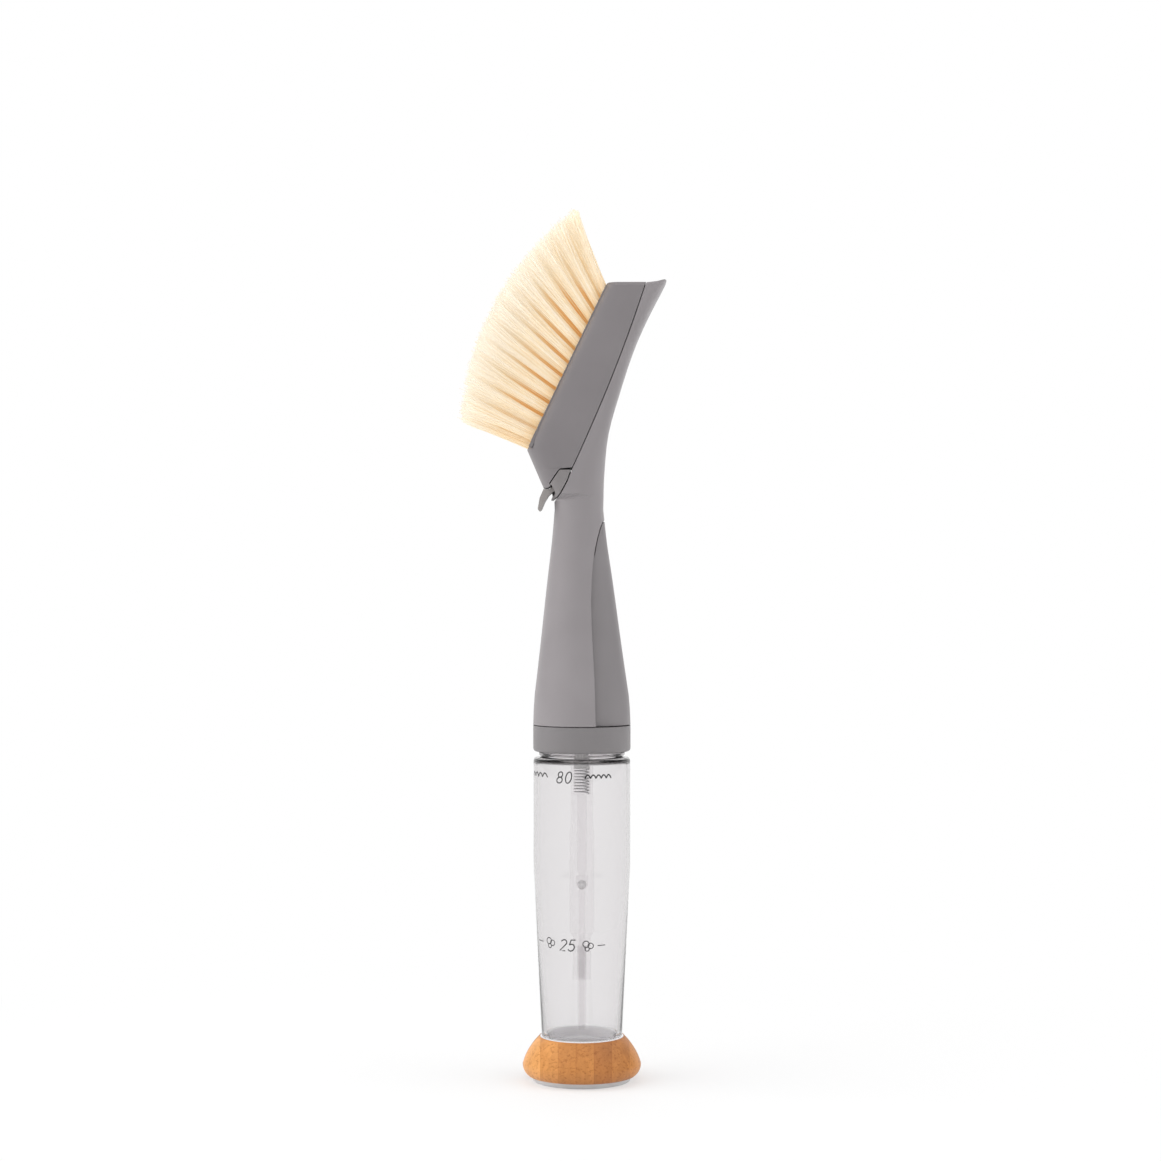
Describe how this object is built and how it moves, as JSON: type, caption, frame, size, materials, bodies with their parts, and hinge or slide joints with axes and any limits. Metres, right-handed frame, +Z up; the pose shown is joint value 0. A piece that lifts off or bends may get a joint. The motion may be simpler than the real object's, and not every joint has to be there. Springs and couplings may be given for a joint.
{
  "type": "dish wand",
  "caption": "Foam-dispensing dish brush: a clear screw-on soap bottle with a wooden base, a squeeze-lever pump handle and a tilted bristle head that clips off.",
  "frame": {"origin": "centre of the foot's underside, on the bottle's axis", "axes": "+Z up along the bottle towards the brush head, +X towards the squeeze lever and the scraper, -X towards the bristles"},
  "size_m": [0.0748, 0.043, 0.315],
  "materials": {
    "silicone_foot": "satin",
    "bamboo": "satin",
    "clear_bottle": "gloss",
    "grey_collar": "matte",
    "grey_handle": "matte",
    "grey_head": "matte",
    "light_grey_plastic": "satin",
    "white_plastic": "satin",
    "white_rubber": "matte",
    "dark_rubber": "matte",
    "steel": "satin",
    "mesh": "matte",
    "bristle": "satin"
  },
  "bodies": {
    "bottle": {"foot": "silicone_foot", "base_ring": "bamboo", "bottle": "clear_bottle"},
    "handle": {"handle_shell": "grey_handle", "pump_carrier": "light_grey_plastic", "pump_housing": "white_plastic", "dip_tube": "white_plastic", "mouth_gasket": "white_rubber", "lever_pin": "steel", "latch_frame": "light_grey_plastic", "latch_pin": "steel", "latch_spring": "steel", "foam_nozzle": "white_plastic", "nozzle_seal": "dark_rubber"},
    "collar": {"collar": "grey_collar"},
    "lever": {"pump_lever": "grey_handle"},
    "plunger": {"actuator_cap": "white_plastic", "foam_tube": "white_plastic", "mesh_holder": "white_plastic", "foam_screens": "mesh", "piston_stem": "white_plastic", "air_piston": "white_plastic", "liquid_piston": "white_plastic", "return_spring": "steel"},
    "ball": {"check_ball": "steel"},
    "latch": {"release_latch": "light_grey_plastic"},
    "head": {"brush_cartridge": "grey_head", "bristles_heel": "bristle", "bristles_lower": "bristle", "bristles_upper": "bristle", "bristles_toe": "bristle"}
  },
  "joints": [
    {"name": "handle_lift", "type": "slide", "parent": "bottle", "child": "handle", "axis": [0, 0, 1], "range_m": [0, 0.12]},
    {"name": "collar_turn", "type": "hinge", "parent": "handle", "child": "collar", "pos_m": [0, 0, 0.1245], "axis": [0, 0, 1], "range_deg": [0, 450]},
    {"name": "lever_squeeze", "type": "hinge", "parent": "handle", "child": "lever", "pos_m": [0.0039, 0, 0.1965], "axis": [0, 1, 0], "range_deg": [0, 4.5], "stiffness_Nm_per_rad": 2, "springref_deg": -5.73},
    {"name": "plunger_slide", "type": "slide", "parent": "handle", "child": "plunger", "axis": [0, 0, -1], "range_m": [0, 0.00408], "deforming": ["return_spring"]},
    {"name": "ball_lift", "type": "slide", "parent": "handle", "child": "ball", "axis": [0, 0, 1], "range_m": [0, 0.0012]},
    {"name": "latch_press", "type": "hinge", "parent": "handle", "child": "latch", "pos_m": [-0.0082, 0, 0.2156], "axis": [0, 1, 0], "range_deg": [-12, 0], "stiffness_Nm_per_rad": 0.05, "springref_deg": 11.46},
    {"name": "head_release", "type": "slide", "parent": "handle", "child": "head", "axis": [-0.9336, 0, 0.3584], "range_m": [0, 0.05]}
  ],
  "couplings": [
    {"joint": "plunger_slide", "follows": "lever_squeeze", "m_per_rad": 0.0516}
  ]
}
